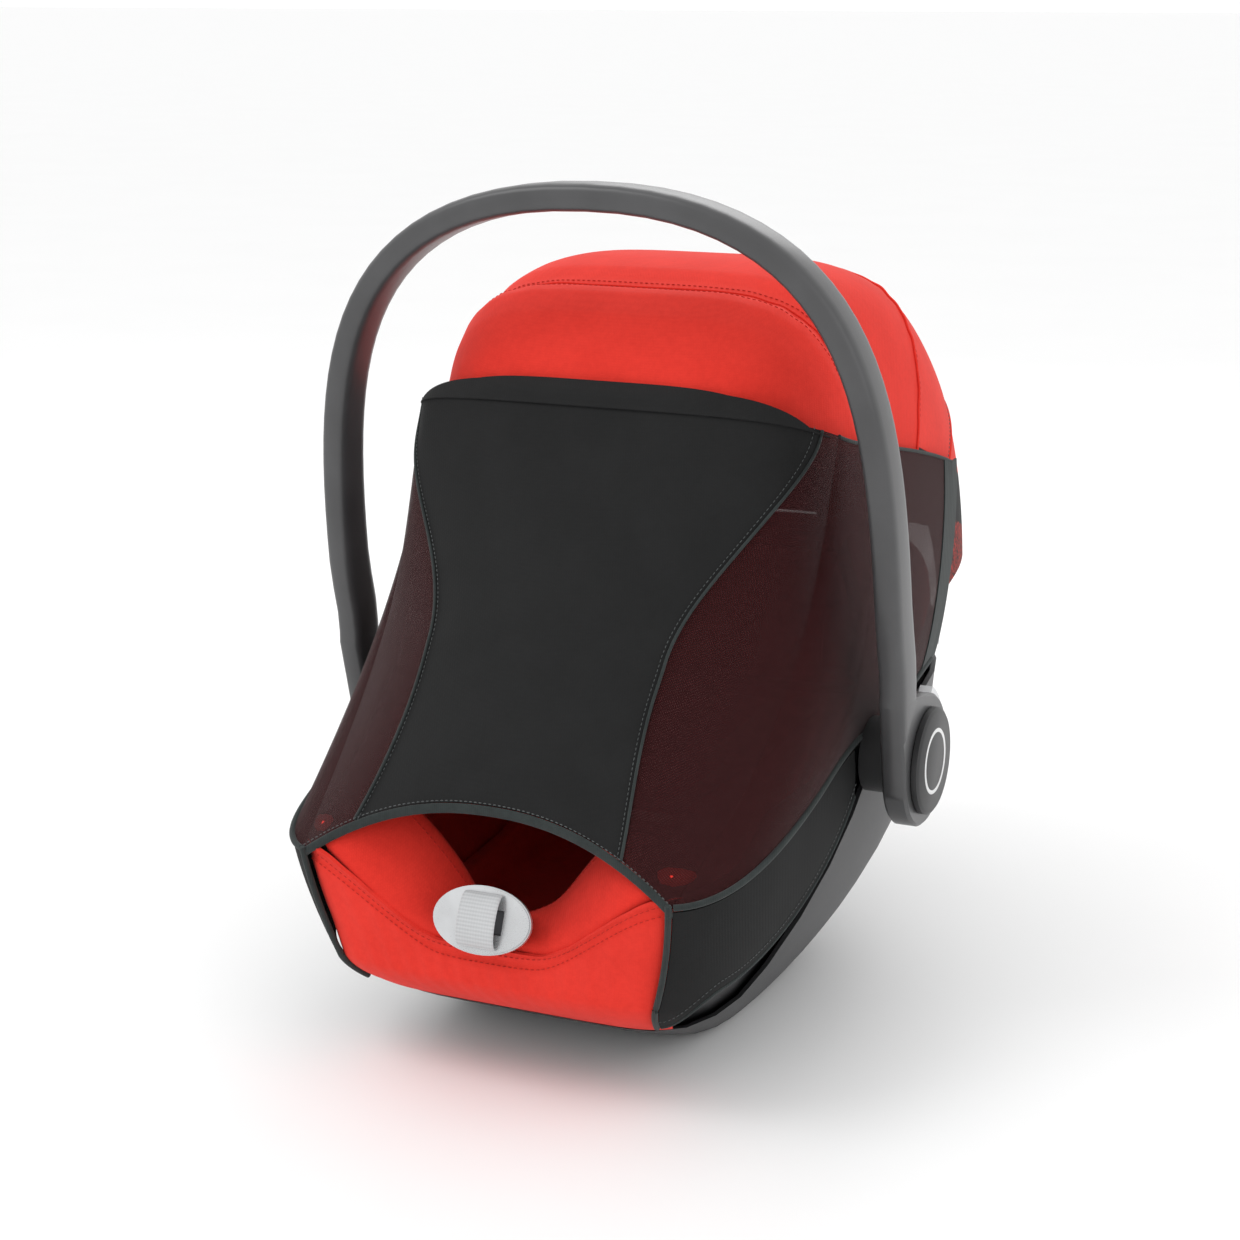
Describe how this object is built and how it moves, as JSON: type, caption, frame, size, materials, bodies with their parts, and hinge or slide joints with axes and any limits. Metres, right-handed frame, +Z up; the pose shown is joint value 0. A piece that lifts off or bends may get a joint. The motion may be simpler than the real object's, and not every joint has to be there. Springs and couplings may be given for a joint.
{
  "type": "infant car seat",
  "caption": "Rigid two-shell infant carrier with a swinging carry handle, folding fabric sun canopy, stretch sun net, sliding headrest and three-point harness.",
  "frame": {"origin": "centre of the bounding box in plan, on the plane that the floor pads stand on", "axes": "+Z up, foot end towards -Y, head end towards +Y, X across the seat with the seat's own left at -X seen from the foot end"},
  "size_m": [0.439, 0.6023, 0.5755],
  "materials": {
    "shell_grey": "fine texture",
    "shell_black": "fine texture",
    "foam": "expanded foam",
    "lining_fabric": "knitted",
    "cover_fabric": "woven",
    "pad_rubber": "matt",
    "steel": "brushed",
    "silver_plastic": "satin metallic",
    "handle_plastic": "satin",
    "boss_plastic": "satin",
    "cap_plastic": "satin",
    "net_black": "stretch jersey",
    "net_mesh": "stretch mesh",
    "webbing": "woven webbing",
    "pad_fabric": "knitted",
    "buckle_red": "gloss",
    "button_grey": "satin",
    "pull_strap": "woven webbing"
  },
  "bodies": {
    "seat": {"base_shell": "shell_grey", "seat_shell": "shell_black", "foam_liner": "foam", "seat_lining": "lining_fabric", "foot_cover": "cover_fabric", "newborn_inlay": "lining_fabric", "floor_pads": "pad_rubber", "latch_bars": "steel", "sole_screws": "steel", "rear_housing": "shell_black", "pivot_boss_left": "boss_plastic", "pivot_boss_right": "boss_plastic", "pivot_axle_left": "steel", "pivot_axle_right": "steel", "canopy_clip_left": "shell_black", "canopy_clip_right": "shell_black", "canopy_bow_rear": "shell_black", "canopy_panel_rear": "cover_fabric", "net_centre_panel": "net_black", "net_mesh_left": "net_mesh", "net_mesh_right": "net_mesh", "net_skirt_left": "net_black", "net_skirt_right": "net_black", "net_front_binding": "net_black", "crotch_strap": "webbing", "buckle_body": "shell_black", "shoulder_strap_left": "webbing", "shoulder_strap_right": "webbing", "shoulder_pad_left": "pad_fabric", "shoulder_pad_right": "pad_fabric", "adjuster_housing": "shell_black", "adjuster_plate": "silver_plastic", "adjuster_strap": "pull_strap"},
    "handle": {"carry_handle": "handle_plastic", "handle_hub_left": "handle_plastic", "handle_hub_right": "handle_plastic"},
    "button_left": {"handle_button_left": "silver_plastic"},
    "button_right": {"handle_button_right": "silver_plastic"},
    "protector_left": {"side_protector_left": "cap_plastic"},
    "protector_right": {"side_protector_right": "cap_plastic"},
    "canopy_middle": {"canopy_bow_middle": "shell_black", "canopy_panel_middle": "cover_fabric"},
    "canopy_front": {"canopy_bow_front": "shell_black", "canopy_panel_front": "cover_fabric"},
    "hem": {"net_top_hem": "net_black"},
    "headrest": {"headrest_frame": "shell_black", "headrest_pad": "lining_fabric"},
    "headrest_grip": {"headrest_lever": "button_grey"},
    "buckle_press": {"buckle_button": "buckle_red"},
    "tongues": {"buckle_tongues": "steel"},
    "lever": {"release_lever": "silver_plastic"},
    "latch": {"base_latch": "steel"},
    "adjuster_press": {"adjuster_button": "button_grey"}
  },
  "joints": [
    {"name": "handle_swing", "type": "hinge", "parent": "seat", "child": "handle", "pos_m": [0, -0.0425, 0.186], "axis": [1, 0, 0], "range_deg": [-125, 0]},
    {"name": "handle_release_left", "type": "slide", "parent": "handle", "child": "button_left", "axis": [0, -0.6691, -0.7431], "range_m": [0, 0.004], "stiffness_N_per_m": 800, "springref_m": -0.002},
    {"name": "handle_release_right", "type": "slide", "parent": "handle", "child": "button_right", "axis": [0, -0.6691, -0.7431], "range_m": [0, 0.004], "stiffness_N_per_m": 800, "springref_m": -0.002},
    {"name": "side_protector_left_out", "type": "slide", "parent": "seat", "child": "protector_left", "axis": [-1, 0, 0], "range_m": [0, 0.015]},
    {"name": "side_protector_right_out", "type": "slide", "parent": "seat", "child": "protector_right", "axis": [1, 0, 0], "range_m": [0, 0.015]},
    {"name": "canopy_fold", "type": "hinge", "parent": "seat", "child": "canopy_middle", "pos_m": [0, 0.0275, 0.24], "axis": [-1, 0, 0], "range_deg": [0, 55]},
    {"name": "canopy_front_fold", "type": "hinge", "parent": "canopy_middle", "child": "canopy_front", "pos_m": [0, 0.0275, 0.24], "axis": [-1, 0, 0], "range_deg": [0, 11]},
    {"name": "net_hem_follow", "type": "hinge", "parent": "seat", "child": "hem", "pos_m": [0, 0.0275, 0.24], "axis": [-1, 0, 0], "range_deg": [0, 66]},
    {"name": "headrest_slide", "type": "slide", "parent": "seat", "child": "headrest", "axis": [0, 0.4695, 0.8829], "range_m": [0, 0.036]},
    {"name": "headrest_squeeze", "type": "slide", "parent": "headrest", "child": "headrest_grip", "axis": [0, -0.4695, -0.8829], "range_m": [0, 0.005], "stiffness_N_per_m": 500, "springref_m": -0.002},
    {"name": "buckle_press_in", "type": "slide", "parent": "seat", "child": "buckle_press", "axis": [0, 0.866, -0.5], "range_m": [0, 0.003], "stiffness_N_per_m": 1200, "springref_m": -0.001},
    {"name": "tongues_out", "type": "slide", "parent": "seat", "child": "tongues", "axis": [0, 0.5, 0.866], "range_m": [0, 0.03]},
    {"name": "release_lever_lift", "type": "slide", "parent": "seat", "child": "lever", "axis": [0, 0.6, 0.8], "range_m": [0, 0.006], "stiffness_N_per_m": 600, "springref_m": -0.004},
    {"name": "base_latch_slide", "type": "slide", "parent": "seat", "child": "latch", "axis": [0, 1, 0], "range_m": [-0.006, 0]},
    {"name": "adjuster_press_in", "type": "slide", "parent": "seat", "child": "adjuster_press", "axis": [0, 0.9272, -0.3746], "range_m": [0, 0.004], "stiffness_N_per_m": 900, "springref_m": -0.002}
  ],
  "couplings": [
    {"joint": "canopy_front_fold", "follows": "canopy_fold", "ratio": 0.2},
    {"joint": "net_hem_follow", "follows": "canopy_fold", "ratio": 1.2},
    {"joint": "base_latch_slide", "follows": "release_lever_lift", "ratio": -1}
  ]
}
